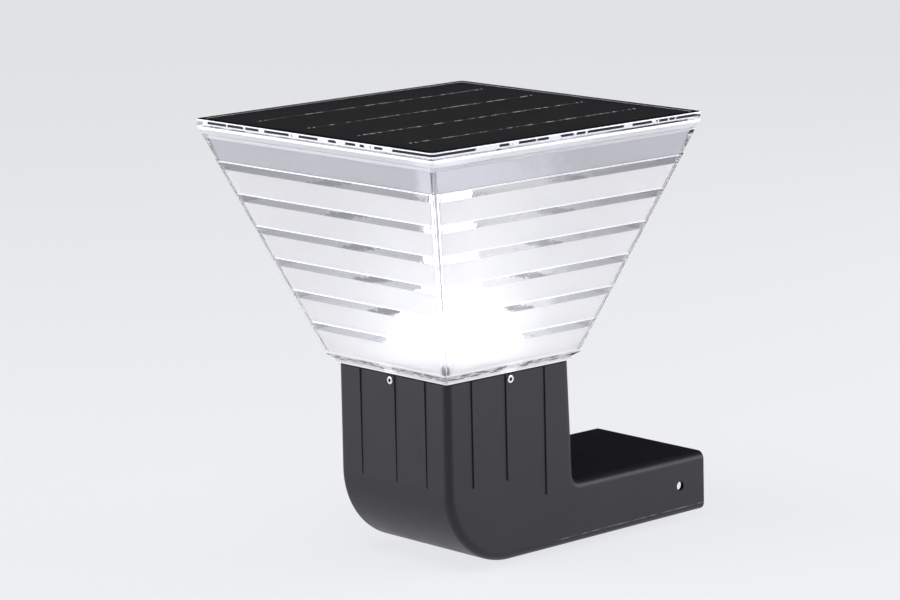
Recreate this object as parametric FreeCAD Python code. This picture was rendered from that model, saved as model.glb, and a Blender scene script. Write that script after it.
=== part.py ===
import FreeCAD, Part
import math
import os

from FreeCAD import Vector

# Sizes are in millimetres. Every piece is built about the lantern's own axis, and the whole light is then
# moved so that the origin lies at the middle of the arm's open end, on the wall. +Y points into the wall.

# Housing: a column that turns through an elbow into a flat arm
column_side = 93.2
column_height = 105.4
arm_height = 35.0
wall_reach = 152.4
housing_wall = 2.4
front_draft = 0.6
back_draft = 2.5
under_draft = 1.8
elbow_radius = 46.0
corner_radius = 4.5
edge_radius = 4.5

# Raised ribs on the column
rib_proud = 0.8
rib_spacing = 27.5
side_rib_width = 2.4
screw_rib_width = 6.4
rib_length = 60.5
long_rib_length = 73.7
rib_edge_radius = 0.3

# Cross hole for the wall bracket's screws
side_hole_radius = 2.75
side_hole_setback = 19.4

# Socket screws, the same thread everywhere
screw_radius = 1.25
screw_head_radius = 2.3
screw_head_height = 1.6
screw_head_edge = 0.4
screw_socket_radius = 1.15
screw_socket_depth = 1.2
screw_clearance = 0.2
thread_clearance = 0.02
column_screw_length = 8.0
column_screw_drop = 2.8
column_screw_sink = 1.0
head_clearance = 0.3
board_screw_length = 6.0
thread_runout = 0.5

# Clear base under the lens
gasket_thickness = 1.0
gasket_inset = 0.6
lip_overhang = 1.1
lip_height = 2.2
bevel_height = 2.6
bevel_flare = 3.5
flange_edge = 1.5
flange_corner = 1.5
flange_round = 0.4
floor_thickness = 2.2
spigot_length = 10.0
spigot_wall = 2.0
spigot_clearance = 0.2
boss_width = 9.0
boss_cover = 1.6
upstand_height = 3.0
upstand_wall = 1.5
upstand_clearance = 0.2
key_size = 4.0
key_height = 4.5

# Lens and top cover
lens_top_half = 93.0
lens_height = 110.5
lens_wall = 2.3
lens_corner = 0.8
stripe_count = 6
stripe_height = 4.5
stripe_proud = 0.9
stripe_margin = 3.8
stripe_gap = 0.4
collar_height = 13.1
collar_wall = 2.0
collar_clearance = 0.15
seal_height = 2.0
cover_height = 23.6
skirt_flare = 7.3
rim_thickness = 4.3
skirt_edge = 0.8
skirt_root = 4.5
cover_floor = 2.0

# Solar panel
rim_width = 4.2
panel_clearance = 0.2
tape_thickness = 0.3
tape_width = 14.0
panel_board_thickness = 1.2
laminate_thickness = 1.1
cell_count = 4
cell_gap = 0.5
cell_side_margin = 10.7
cell_end_margin = 9.9
cell_thickness = 0.25
ribbon_width = 1.2
ribbon_thickness = 0.1
pocket_clearance = 0.05

# Light source and diffuser
led_board_clearance = 1.0
led_board_thickness = 1.6
led_board_hole = 3.0
led_length = 3.5
led_width = 2.8
led_height = 0.8
led_ring_radii = (15.0, 27.0)
led_ring_counts = (8, 16)
led_screw_circle = 21.0
led_screw_count = 3
diffuser_clearance = 1.2
diffuser_foot_width = 9.6
diffuser_foot_thickness = 1.5
diffuser_wall = 1.5
diffuser_base_height = 14.3
tier_count = 4
tier_step = 5.0
tier_height = 6.4
tube_top_radius = 6.5
tube_clearance = 0.3

# Battery and control board, hung on posts under the base's floor
post_radius = 3.2
post_height = 7.0
led_post_height = 4.0
battery_radius = 9.2
battery_length = 65.2
battery_y = -17.0
battery_clearance = 0.3
contact_plate = 0.5
contact_pad_radius = 3.0
contact_pad_height = 1.5
contact_side = 10.0
cradle_wall = 1.5
cradle_plate = 2.0
cradle_end = 2.0
cradle_hold = 4.0
ear_x = 25.0
ear_y = -2.0
ear_radius = 4.5
board_thickness = 1.6
board_half_width = 32.0
board_front_y = 10.0
board_clearance = 1.5
board_post_x = 26.0
board_post_y = 24.0
connector_width = 5.0
connector_depth = 6.0
connector_height = 5.0
connector_setback = 2.0
lead_pitch = 7.0
lead_radius = 1.1
lead_bend = 6.0
lead_hole_margin = 0.9
inductor_side = 12.0
inductor_height = 6.0
capacitor_radius = 4.0
capacitor_height = 10.0
chip_length = 6.0
chip_width = 5.0
chip_height = 1.6
parts_x = 17.0
parts_setback = 1.0

# Power switch in the housing's underside
switch_y = 30.0
switch_recess = 0.5
switch_margin = 1.0
button_radius = 4.4
button_proud = 2.5
button_travel = 2.0
button_clearance = 0.08
button_collar_radius = 5.1
button_collar_height = 1.5
button_stem_radius = 1.5
bezel_flange_radius = 8.5
bezel_flange_height = 1.5
bezel_barrel_radius = 6.2
bezel_bore_depth = 4.5
bezel_rise = 10.0
bezel_clearance = 0.1
nut_radius = 9.0
nut_height = 3.0
switch_side = 14.0
switch_height = 12.0
stem_engagement = 1.0
stem_clearance = 0.2
switch_lead_bow = 8.0
switch_lead_bend = 12.0
switch_lead_runs = 5

overrun = 5.0
ORIGIN = Vector(0, 0, 0)
X_AXIS = Vector(1, 0, 0)
Z_AXIS = Vector(0, 0, 1)

# Levels, from the arm upwards
column_half = column_side / 2
arm_top = arm_height / 2
arm_bottom = -arm_height / 2
column_top = arm_bottom + column_height
rib_half = column_half + rib_proud
flange_bottom = column_top + gasket_thickness
lip_top = flange_bottom + lip_height
bevel_top = lip_top + bevel_height
flange_top = bevel_top + flange_edge
floor_bottom = flange_top - floor_thickness
spigot_half = column_half - housing_wall - spigot_clearance
spigot_bottom = flange_bottom - spigot_length
spigot_corner = edge_radius - housing_wall + spigot_clearance
lip_half = column_half + lip_overhang
lens_foot_half = lip_half + bevel_flare
lens_foot_inside = lens_foot_half - lens_wall - upstand_clearance
diffuser_foot_radius = lens_foot_inside - upstand_wall - diffuser_clearance
diffuser_base_radius = diffuser_foot_radius - diffuser_foot_width
led_board_radius = diffuser_base_radius - diffuser_wall - led_board_clearance
rim_half = lens_top_half + skirt_flare
panel_half = rim_half - rim_width - panel_clearance
cell_pitch = 2 * (panel_half - cell_side_margin) / cell_count
cell_length = 2 * (panel_half - cell_end_margin)
lens_top = flange_top + lens_height
collar_top = lens_top + collar_height
rim_top = lens_top + cover_height
rim_bottom = rim_top - rim_thickness
tape_bottom = rim_top - laminate_thickness - panel_board_thickness - tape_thickness
panel_board_bottom = tape_bottom + tape_thickness
laminate_bottom = panel_board_bottom + panel_board_thickness
cover_floor_bottom = tape_bottom - cover_floor
post_bottom = floor_bottom - post_height
cradle_bottom = post_bottom - cradle_plate
board_bottom = post_bottom - board_thickness
connector_bottom = board_bottom - connector_height
lead_z = board_bottom - connector_height / 2
lead_hole_radius = lead_pitch + lead_radius + lead_hole_margin
column_screw_z = column_top - column_screw_drop
column_screw_seat = rib_half - column_screw_sink
boss_end = column_screw_seat - column_screw_length - boss_cover
board_back_y = boss_end - board_clearance
connector_y = board_front_y + connector_setback
switch_plug_y = board_back_y - connector_setback - connector_depth / 2
parts_y = board_back_y - parts_setback - inductor_side / 2


def block(x_low, x_high, y_low, y_high, z_low, z_high):
    corner = Vector(x_low, y_low, z_low)
    return Part.makeBox(x_high - x_low, y_high - y_low, z_high - z_low, corner)


def post(x, y, z_low, z_high, radius):
    return Part.makeCylinder(radius, z_high - z_low, Vector(x, y, z_low))


def turned(shape, quarter):
    return shape.rotated(ORIGIN, Z_AXIS, 90 * quarter)


def round_edges(solid, radius, wanted):
    return solid.makeFillet(radius, [edge for edge in solid.Edges if wanted(edge)])


def upright(edge):
    return abs(edge.Vertexes[0].Z - edge.Vertexes[-1].Z) > 1e-6


def pyramid(low_half, low_z, high_half, high_z, corner):
    """A square frustum about the lantern's axis, with its four rising edges rounded."""
    solid = Part.makeWedge(-low_half, low_z, -low_half, -high_half, -high_half,
                           low_half, high_z, low_half, high_half, high_half)
    solid.rotate(ORIGIN, X_AXIS, 90)
    return round_edges(solid, corner, upright)


def square_ring(outer_half, inner_half, low_z, high_z, outer_corner, inner_corner):
    outer = pyramid(outer_half, low_z, outer_half, high_z, outer_corner)
    inner = pyramid(inner_half, low_z - overrun, inner_half, high_z + overrun, inner_corner)
    return outer.cut(inner)


def under_at(y):
    return arm_bottom - under_draft * (wall_reach - y) / (wall_reach + column_half)


def front_at(z):
    return -column_half - front_draft * (column_top - z) / column_height


def back_at(z):
    return column_half + back_draft * (column_top - z) / (column_top - arm_top)


def elbow_solid(inset, past_ends):
    """The column and arm as one bent bar, drawn in by inset and run past both open ends."""
    under = arm_top - inset
    high = column_top + past_ends
    end = wall_reach + past_ends
    half = column_half - inset
    low = under_at(-column_half) + inset
    heel = (front_at(low) + inset, low)
    crook = (back_at(under) - inset, under)
    outline = [
        (front_at(high) + inset, high),
        heel,
        (end, under_at(end) + inset),
        (end, under),
        crook,
        (back_at(high) - inset, high),
    ]
    corners = [Vector(-half, y, z) for y, z in outline]
    solid = Part.Face(Part.makePolygon(corners + corners[:1])).extrude(Vector(2 * half, 0, 0))

    def crosses_at(edge, place):
        return all(math.hypot(v.Y - place[0], v.Z - place[1]) < 1e-6 for v in edge.Vertexes)

    def along_side(edge):
        middle = edge.CenterOfMass
        on_side = all(abs(abs(v.X) - half) < 1e-6 for v in edge.Vertexes) and abs(middle.x) > half - 1e-6
        return on_side and middle.z < high - 1e-6 and middle.y < end - 1e-6

    solid = round_edges(solid, elbow_radius - inset, lambda edge: crosses_at(edge, heel))
    solid = round_edges(solid, corner_radius + inset, lambda edge: crosses_at(edge, crook))
    return round_edges(solid, edge_radius - inset, along_side)


# The power switch clamps the housing's underside between a flat recess outside and a flat pad inside
switch_seat = under_at(switch_y) + switch_recess
nut_seat = switch_seat + housing_wall
barrel_top = nut_seat + bezel_rise
bezel_bottom = switch_seat - bezel_flange_height
bezel_step = bezel_bottom + bezel_bore_depth


def column_rib(quarter, offset, width):
    """One raised rib on a column face; the rear ribs on the two sides run down onto the arm."""
    rear = (quarter == 1 and offset > 0) or (quarter == 3 and offset < 0)
    foot = column_top - (long_rib_length if rear else rib_length)
    root = -column_half + housing_wall / 2
    rib = block(offset - width / 2, offset + width / 2, -rib_half, root, foot, column_top)

    def proud(edge):
        middle = edge.CenterOfMass
        return middle.y < -rib_half + 1e-6 and middle.z < column_top - 1e-6

    return turned(round_edges(rib, rib_edge_radius, proud), quarter)


def housing():
    ribs = []
    holes = []
    for quarter in range(4):
        ribs += [column_rib(quarter, sign * rib_spacing, side_rib_width) for sign in (-1, 1)]
        ribs.append(column_rib(quarter, 0, screw_rib_width))
        mouth = Vector(0, -column_screw_seat, column_screw_z)
        sink = Part.makeCylinder(screw_head_radius + head_clearance, overrun, mouth, Vector(0, -1, 0))
        bore_length = 2 * housing_wall + rib_proud
        bore = Part.makeCylinder(screw_radius + screw_clearance, bore_length, mouth, Vector(0, 1, 0))
        holes += [turned(sink, quarter), turned(bore, quarter)]
    body = elbow_solid(0, 0).fuse(ribs).cut(elbow_solid(housing_wall, overrun))
    body = body.fuse(post(0, switch_y, switch_seat, nut_seat, nut_radius + switch_margin))
    hole_start = Vector(-column_side, wall_reach - side_hole_setback, 0)
    holes.append(Part.makeCylinder(side_hole_radius, 2 * column_side, hole_start, X_AXIS))
    switch_low = switch_seat - overrun
    holes.append(post(0, switch_y, switch_low, switch_seat, bezel_flange_radius + switch_margin))
    holes.append(post(0, switch_y, switch_low, nut_seat + overrun, bezel_barrel_radius + bezel_clearance))
    return body.cut(holes).removeSplitter()


def hexagon(radius):
    turns = [math.radians(60 * side) for side in range(7)]
    return Part.Face(Part.makePolygon([Vector(radius * math.cos(t), radius * math.sin(t), 0) for t in turns]))


def socket_screw(length):
    """A socket screw with its head's seat at the origin and its shank along +Z."""
    shank = Part.makeCylinder(screw_radius, length)
    head = Part.makeCylinder(screw_head_radius, screw_head_height, Vector(0, 0, -screw_head_height))
    head = round_edges(head, screw_head_edge, lambda edge: edge.BoundBox.ZMax < -screw_head_height + 1e-6)
    socket = hexagon(screw_socket_radius).extrude(Vector(0, 0, screw_socket_depth))
    socket.translate(Vector(0, 0, -screw_head_height))
    return shank.fuse(head).removeSplitter().cut(socket)


def screws_at(places, length, tilt):
    """Screws at the given seats, each turned about X by tilt degrees from shank-up."""
    upright_screw = socket_screw(length).rotated(ORIGIN, X_AXIS, tilt)
    return Part.makeCompound([upright_screw.translated(place) for place in places])


def column_screws():
    front = screws_at([Vector(0, -column_screw_seat, column_screw_z)], column_screw_length, -90)
    return Part.makeCompound([turned(front.Solids[0], quarter) for quarter in range(4)])


def column_gasket():
    return square_ring(column_half - gasket_inset, spigot_half + spigot_clearance, column_top, flange_bottom,
                       edge_radius - gasket_inset, spigot_corner)


def led_screw_places(z):
    turns = [math.radians(90 + 360 * i / led_screw_count) for i in range(led_screw_count)]
    return [Vector(led_screw_circle * math.cos(t), led_screw_circle * math.sin(t), z) for t in turns]


def ear_places(z):
    return [Vector(-ear_x, ear_y, z), Vector(ear_x, ear_y, z)]


def board_post_places(z):
    return [Vector(-board_post_x, board_post_y, z), Vector(board_post_x, board_post_y, z)]


def round_level(solid, z):
    """Rounds the outline of the flat face that lies at height z."""
    return round_edges(solid, flange_round, lambda edge: all(abs(v.Z - z) < 1e-6 for v in edge.Vertexes))


def lens_base():
    lip = pyramid(lip_half, flange_bottom, lip_half, lip_top, flange_corner)
    flange = pyramid(lens_foot_half, bevel_top, lens_foot_half, flange_top, flange_corner)
    body = round_level(lip, flange_bottom).fuse([
        pyramid(lip_half, lip_top, lens_foot_half, bevel_top, flange_corner),
        round_level(flange, flange_top),
        pyramid(spigot_half, spigot_bottom, spigot_half, flange_bottom, spigot_corner),
    ])
    inside = spigot_half - spigot_wall
    body = body.cut(pyramid(inside, spigot_bottom - overrun, inside, floor_bottom, spigot_corner))
    thread = screw_radius + thread_clearance
    upstand_reach = lens_foot_inside - key_size - 2 * upstand_clearance
    solids = []
    holes = [post(0, 0, floor_bottom - overrun, flange_top + overrun, lead_hole_radius)]
    for quarter in range(4):
        boss = block(-boss_width / 2, boss_width / 2, -spigot_half + spigot_wall / 2, -boss_end,
                     spigot_bottom, floor_bottom)
        upstand = block(-upstand_reach, upstand_reach, -lens_foot_inside, -lens_foot_inside + upstand_wall,
                        flange_top, flange_top + upstand_height)
        mouth = Vector(0, -column_screw_seat, column_screw_z)
        bore = Part.makeCylinder(thread, column_screw_length + thread_runout, mouth, Vector(0, 1, 0))
        solids += [turned(boss, quarter), turned(upstand, quarter)]
        holes.append(turned(bore, quarter))
    for place in led_screw_places(0):
        tip = flange_top + led_board_thickness - board_screw_length
        solids.append(post(place.x, place.y, floor_bottom - led_post_height, floor_bottom, post_radius))
        holes.append(post(place.x, place.y, tip - thread_runout, flange_top + overrun, thread))
    for seat in ear_places(cradle_bottom) + board_post_places(board_bottom):
        tip = seat.z + board_screw_length
        solids.append(post(seat.x, seat.y, post_bottom, floor_bottom, post_radius))
        holes.append(post(seat.x, seat.y, post_bottom - overrun, tip + thread_runout, thread))
    return body.fuse(solids).removeSplitter().cut(holes)


def corner_keys():
    far = lens_foot_inside
    key = block(far - key_size, far, -far, -far + key_size, flange_top, flange_top + key_height)
    return Part.makeCompound([turned(key, quarter) for quarter in range(4)])


def lens_half_at(z):
    return lens_foot_half + (lens_top_half - lens_foot_half) * (z - flange_top) / lens_height


def skirt_inside_at(z):
    """Half the width between the skirt's inner faces, which stand steeper than its outer ones."""
    low = lens_top_half - skirt_edge
    high = rim_half - skirt_root
    return low + (high - low) * (z - lens_top) / (rim_bottom - lens_top)


def lens_stripe(index, quarter):
    """One polished stripe, standing proud of a lens face and stopping short of its corners."""
    slope = math.atan2(lens_top_half - lens_foot_half, lens_height)
    middle = lens_top - stripe_gap - stripe_height / 2 - index * lens_height / stripe_count
    half_length = lens_half_at(middle) - stripe_margin
    half_height = stripe_height / 2 / math.cos(slope)
    stripe = block(-half_length, half_length, -stripe_proud, lens_wall / 2, -half_height, half_height)
    stripe = stripe.rotated(ORIGIN, X_AXIS, math.degrees(slope))
    return turned(stripe.translated(Vector(0, -lens_half_at(middle), middle)), quarter)


def lens_shade():
    outer = pyramid(lens_foot_half, flange_top, lens_top_half, lens_top, lens_corner)
    collar_low = skirt_inside_at(lens_top) - collar_clearance
    collar_high = skirt_inside_at(collar_top) - collar_clearance
    collar = pyramid(collar_low, lens_top, collar_high, collar_top, lens_corner)
    stripes = [lens_stripe(i, quarter) for i in range(stripe_count) for quarter in range(4)]
    inside = pyramid(lens_half_at(flange_top - overrun) - lens_wall, flange_top - overrun,
                     lens_top_half - lens_wall, lens_top, lens_corner)
    mouth_high = skirt_inside_at(collar_top + overrun) - collar_clearance - collar_wall
    mouth = pyramid(collar_low - collar_wall, lens_top, mouth_high, collar_top + overrun, lens_corner)
    return outer.fuse([collar] + stripes).removeSplitter().cut([inside, mouth])


def cover_seal():
    half = skirt_inside_at(collar_top) - collar_clearance
    high = collar_top + seal_height
    return square_ring(half, half - collar_wall, collar_top, high, lens_corner, lens_corner)


def top_cover():
    rim = pyramid(rim_half, rim_bottom, rim_half, rim_top, lens_corner)
    skirt = pyramid(lens_top_half, lens_top, rim_half, rim_bottom, lens_corner)
    low = lens_top - overrun
    high = cover_floor_bottom
    hollow = pyramid(skirt_inside_at(low), low, skirt_inside_at(high), high, lens_corner)
    room = panel_half + panel_clearance
    recess = pyramid(room, tape_bottom, room, rim_top + overrun, lens_corner)
    lead_hole = post(0, 0, cover_floor_bottom - overrun, rim_top, lead_radius + lead_hole_margin)
    return rim.fuse(skirt).removeSplitter().cut([hollow, recess, lead_hole])


def panel_tape():
    return square_ring(panel_half - panel_clearance, panel_half - tape_width, tape_bottom, panel_board_bottom,
                       lens_corner, lens_corner)


def panel_board():
    return pyramid(panel_half, panel_board_bottom, panel_half, laminate_bottom, lens_corner)


def cell_places():
    return [(i - (cell_count - 1) / 2) * cell_pitch for i in range(cell_count)]


def strips(width, low_z, high_z):
    end = cell_length / 2
    return Part.makeCompound([block(x - width / 2, x + width / 2, -end, end, low_z, high_z)
                              for x in cell_places()])


def solar_cells():
    return strips(cell_pitch - cell_gap, laminate_bottom, laminate_bottom + cell_thickness)


def cell_ribbons():
    low = laminate_bottom + cell_thickness
    return strips(ribbon_width, low, low + ribbon_thickness)


def panel_cover():
    plate = pyramid(panel_half, laminate_bottom, panel_half, rim_top, lens_corner)
    reach_x = cell_count * cell_pitch / 2 + pocket_clearance
    reach_y = cell_length / 2 + pocket_clearance
    pocket_top = laminate_bottom + cell_thickness + ribbon_thickness + pocket_clearance
    return plate.cut(block(-reach_x, reach_x, -reach_y, reach_y, laminate_bottom - overrun, pocket_top))


def led_board():
    board = post(0, 0, flange_top, flange_top + led_board_thickness, led_board_radius)
    holes = [post(p.x, p.y, flange_top - overrun, flange_top + overrun, screw_radius + screw_clearance)
             for p in led_screw_places(0)]
    holes.append(post(0, 0, flange_top - overrun, flange_top + overrun, led_board_hole))
    return board.cut(holes)


def led_chips():
    chips = []
    for radius, count in zip(led_ring_radii, led_ring_counts):
        for i in range(count):
            low = flange_top + led_board_thickness
            chip = block(radius - led_length / 2, radius + led_length / 2, -led_width / 2, led_width / 2,
                         low, low + led_height)
            chips.append(chip.rotated(ORIGIN, Z_AXIS, 360 * (i + 0.5) / count))
    return Part.makeCompound(chips)


def led_screws():
    return screws_at(led_screw_places(flange_top + led_board_thickness), board_screw_length, 180)


def diffuser_core(inset):
    """The stepped core as one turned solid, with every face drawn in by inset."""
    top = cover_floor_bottom - tube_clearance + (overrun if inset else 0)
    outline = [Vector(0, 0, flange_top), Vector(diffuser_base_radius - inset, 0, flange_top)]
    for tier in range(tier_count):
        level = flange_top + diffuser_base_height + tier * tier_height - inset
        outline.append(Vector(diffuser_base_radius - tier * tier_step - inset, 0, level))
        outline.append(Vector(diffuser_base_radius - (tier + 1) * tier_step - inset, 0, level))
    outline += [Vector(tube_top_radius - inset, 0, top), Vector(0, 0, top)]
    return Part.Face(Part.makePolygon(outline + outline[:1])).revolve(ORIGIN, Z_AXIS, 360)


def inner_diffuser():
    foot = post(0, 0, flange_top, flange_top + diffuser_foot_thickness, diffuser_foot_radius)
    return diffuser_core(0).fuse(foot).cut(diffuser_core(diffuser_wall)).removeSplitter()


def battery_cell():
    start = Vector(-battery_length / 2, battery_y, battery_axis_z())
    return Part.makeCylinder(battery_radius, battery_length, start, X_AXIS)


def battery_axis_z():
    return cradle_bottom - battery_clearance - battery_radius


def cradle_inside():
    return battery_length / 2 + contact_plate + contact_pad_height


def cradle_edge_y():
    return battery_y + battery_radius + battery_clearance + cradle_wall


def battery_cradle():
    half_width = battery_radius + battery_clearance + cradle_wall
    half_length = cradle_inside() + cradle_end
    low = battery_axis_z() - battery_radius
    body = block(-half_length, half_length, battery_y - half_width, battery_y + half_width, low, post_bottom)
    room = half_width - cradle_wall
    end = cradle_inside()
    hold = battery_axis_z() - cradle_hold
    body = body.cut([
        block(-end, end, battery_y - room, battery_y + room, low - overrun, cradle_bottom),
        block(-end, end, battery_y - 2 * room, battery_y + 2 * room, low - overrun, hold),
    ])
    for place in ear_places(cradle_bottom):
        ear = post(place.x, place.y, cradle_bottom, post_bottom, ear_radius)
        bridge = block(place.x - ear_radius, place.x + ear_radius, cradle_edge_y() - cradle_wall, place.y,
                       cradle_bottom, post_bottom)
        body = body.fuse([ear, bridge])
    holes = [post(p.x, p.y, p.z - overrun, p.z + overrun, screw_radius + screw_clearance)
             for p in ear_places(cradle_bottom)]
    return body.removeSplitter().cut(holes)


def battery_contacts():
    contacts = []
    for side in (-1, 1):
        plate = block(battery_length / 2 + contact_pad_height, cradle_inside(), battery_y - contact_side / 2,
                      battery_y + contact_side / 2, battery_axis_z() - contact_side / 2,
                      battery_axis_z() + contact_side / 2)
        pad = Part.makeCylinder(contact_pad_radius, contact_pad_height,
                                Vector(battery_length / 2, battery_y, battery_axis_z()), X_AXIS)
        contact = plate.fuse(pad).removeSplitter()
        contacts.append(contact if side == 1 else contact.mirror(ORIGIN, X_AXIS))
    return Part.makeCompound(contacts)


def cradle_screws():
    return screws_at(ear_places(cradle_bottom), board_screw_length, 0)


def control_board():
    board = block(-board_half_width, board_half_width, board_front_y, board_back_y, board_bottom, post_bottom)
    hole = screw_radius + screw_clearance
    return board.cut([post(p.x, p.y, board_bottom - overrun, post_bottom + overrun, hole)
                      for p in board_post_places(0)])


def board_screws():
    return screws_at(board_post_places(board_bottom), board_screw_length, 0)


def under_board(x, y, width, depth, height):
    low = board_bottom - height
    return block(x - width / 2, x + width / 2, y - depth / 2, y + depth / 2, low, board_bottom)


def board_parts():
    """Lead connectors, inductor, capacitor and controller chip on the board's underside."""
    plug_y = connector_y + connector_depth / 2
    parts = [under_board(x, plug_y, connector_width, connector_depth, connector_height)
             for x in (-lead_pitch, 0, lead_pitch)]
    parts += [
        under_board(0, switch_plug_y, connector_width, connector_depth, connector_height),
        under_board(-parts_x, parts_y, inductor_side, inductor_side, inductor_height),
        under_board(parts_x, connector_y + chip_width / 2, chip_length, chip_width, chip_height),
        post(parts_x, parts_y, board_bottom - capacitor_height, board_bottom, capacitor_radius),
    ]
    return Part.makeCompound(parts)


def lead(points, bend):
    """A round lead along straight runs joined by tangent arcs."""
    edges = []
    start = points[0]
    for before, here, after in zip(points, points[1:], points[2:]):
        back = (before - here).normalize()
        ahead = (after - here).normalize()
        half_turn = back.getAngle(ahead) / 2
        run = bend / math.tan(half_turn)
        middle = (back + ahead).normalize()
        arc_start = here + back * run
        arc_end = here + ahead * run
        arc_middle = here + middle * (bend / math.sin(half_turn) - bend)
        edges.append(Part.LineSegment(start, arc_start).toShape())
        edges.append(Part.Arc(arc_start, arc_middle, arc_end).toShape())
        start = arc_end
    edges.append(Part.LineSegment(start, points[-1]).toShape())
    ring = Part.Wire(Part.makeCircle(lead_radius, points[0], points[1] - points[0]))
    return Part.Wire(edges).makePipeShell([ring], True, False)


def panel_lead():
    corner = Vector(0, 0, lead_z)
    return lead([Vector(0, 0, panel_board_bottom), corner, Vector(0, connector_y, lead_z)], lead_bend)


def led_lead():
    x = lead_pitch
    return lead([Vector(x, 0, flange_top), Vector(x, 0, lead_z), Vector(x, connector_y, lead_z)], lead_bend)


def battery_lead():
    start = Vector(-lead_pitch, cradle_edge_y(), lead_z)
    return Part.makeCylinder(lead_radius, connector_y - cradle_edge_y(), start, Vector(0, 1, 0))


def switch_lead():
    top = connector_bottom
    low = barrel_top + switch_height
    run = (top - low) / switch_lead_runs
    bowed = max(switch_y, switch_plug_y) + switch_lead_bow
    places = [
        (switch_plug_y, top), (switch_plug_y, top - run), (bowed, top - 2 * run),
        (bowed, low + 2 * run), (switch_y, low + run), (switch_y, low),
    ]
    return lead([Vector(0, y, z) for y, z in places], switch_lead_bend)


def switch_bezel():
    flange = post(0, switch_y, bezel_bottom, switch_seat, bezel_flange_radius)
    barrel = post(0, switch_y, switch_seat, barrel_top, bezel_barrel_radius)
    bore = post(0, switch_y, bezel_bottom - overrun, bezel_step, button_radius + button_clearance)
    room = post(0, switch_y, bezel_step, barrel_top + overrun, button_collar_radius + button_clearance)
    return flange.fuse(barrel).removeSplitter().cut([bore, room])


def switch_nut():
    nut = hexagon(nut_radius).extrude(Vector(0, 0, nut_height)).translated(Vector(0, switch_y, nut_seat))
    bore = bezel_barrel_radius + thread_clearance
    return nut.cut(post(0, switch_y, nut_seat - overrun, nut_seat + overrun, bore))


def switch_body():
    half = switch_side / 2
    body = block(-half, half, switch_y - half, switch_y + half, barrel_top, barrel_top + switch_height)
    depth = stem_engagement + 2 * button_travel
    well = button_stem_radius + stem_clearance
    return body.cut(post(0, switch_y, barrel_top - overrun, barrel_top + depth, well))


def button_cap():
    collar_top_z = bezel_step + button_collar_height
    head = post(0, switch_y, bezel_bottom - button_proud, bezel_step, button_radius)
    collar = post(0, switch_y, bezel_step, collar_top_z, button_collar_radius)
    stem = post(0, switch_y, collar_top_z, barrel_top + stem_engagement, button_stem_radius)
    return head.fuse([collar, stem]).removeSplitter()


pieces = [
    housing, column_screws, column_gasket, lens_base, corner_keys, lens_shade, cover_seal, top_cover,
    panel_tape, panel_board, solar_cells, cell_ribbons, panel_cover,
    led_board, led_chips, led_screws, inner_diffuser,
    battery_cell, battery_cradle, battery_contacts, cradle_screws,
    control_board, board_parts, board_screws, panel_lead, led_lead, battery_lead, switch_lead,
    switch_bezel, switch_nut, switch_body, button_cap,
]

os.makedirs("parts", exist_ok=True)
for piece in pieces:
    shape = piece().translated(Vector(0, -wall_reach, 0))
    shape.exportStep(f"parts/{piece.__name__}.step")
    print(piece.__name__, shape.isValid(), len(shape.Solids), round(shape.Volume, 1))
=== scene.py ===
import bmesh
import bpy
import math

from mathutils import Matrix, Vector


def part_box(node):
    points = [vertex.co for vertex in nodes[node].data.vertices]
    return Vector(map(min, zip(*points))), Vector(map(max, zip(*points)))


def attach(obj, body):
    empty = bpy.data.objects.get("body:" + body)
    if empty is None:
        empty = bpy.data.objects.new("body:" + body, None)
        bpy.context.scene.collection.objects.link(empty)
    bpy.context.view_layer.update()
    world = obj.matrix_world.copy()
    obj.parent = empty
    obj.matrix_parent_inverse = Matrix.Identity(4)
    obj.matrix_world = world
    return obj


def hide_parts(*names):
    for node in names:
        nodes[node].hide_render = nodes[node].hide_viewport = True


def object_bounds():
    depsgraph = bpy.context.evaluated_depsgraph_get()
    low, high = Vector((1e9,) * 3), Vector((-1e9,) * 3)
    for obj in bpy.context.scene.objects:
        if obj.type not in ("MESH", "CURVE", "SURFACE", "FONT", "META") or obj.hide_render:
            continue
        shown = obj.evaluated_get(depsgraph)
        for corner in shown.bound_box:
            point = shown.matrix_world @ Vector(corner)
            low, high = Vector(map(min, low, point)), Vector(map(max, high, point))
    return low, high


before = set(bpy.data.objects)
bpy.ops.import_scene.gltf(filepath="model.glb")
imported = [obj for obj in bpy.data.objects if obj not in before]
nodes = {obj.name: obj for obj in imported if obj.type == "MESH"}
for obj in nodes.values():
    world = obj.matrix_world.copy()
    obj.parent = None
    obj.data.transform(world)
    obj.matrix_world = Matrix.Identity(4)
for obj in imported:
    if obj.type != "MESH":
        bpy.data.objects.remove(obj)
cad_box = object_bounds()
scene = bpy.context.scene
scene.view_settings.view_transform = "Standard"
MM = 0.001

# Studio: a pale floor just under the light, three low soft boxes around it and one high at the front.
# The camera's own side and the space overhead stay dim, so that level faces read nearly black and clear
# edges get dark lines. The box at the back only fills, and shows in no reflection.
FLOOR_TONE = "#f3f4f6"
FLOOR_PAINT = "#737475"
FLOOR_GLOW = 0.82
FLOOR_REACH = 12.0
FLOOR_GAP = 0.2 * MM
STUDIO_TONE = "#242426"
BOX_AIM = Vector((0, -0.152, 0.1))
BOX_DISTANCE = 1.6
BOX_WIDTH = 1.3
BOX_HEIGHT = 0.8
BOX_TINT = (0.985, 0.98, 1.0)
SOFT_BOXES = (
    ("left_box", -34, 12, 15.8),
    ("right_box", 130, 12, 16.2),
    ("back_box", 163, 12, 11.5),
    ("high_box", 15, 62, 11),
)
LIGHT_BOUNCES = 48


def linear(hex_colour):
    """Linear RGBA of an sRGB hex colour."""
    parts = [int(hex_colour[i:i + 2], 16) / 255 for i in (1, 3, 5)]
    return [c / 12.92 if c <= 0.04045 else ((c + 0.055) / 1.055) ** 2.4 for c in parts] + [1.0]


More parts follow.
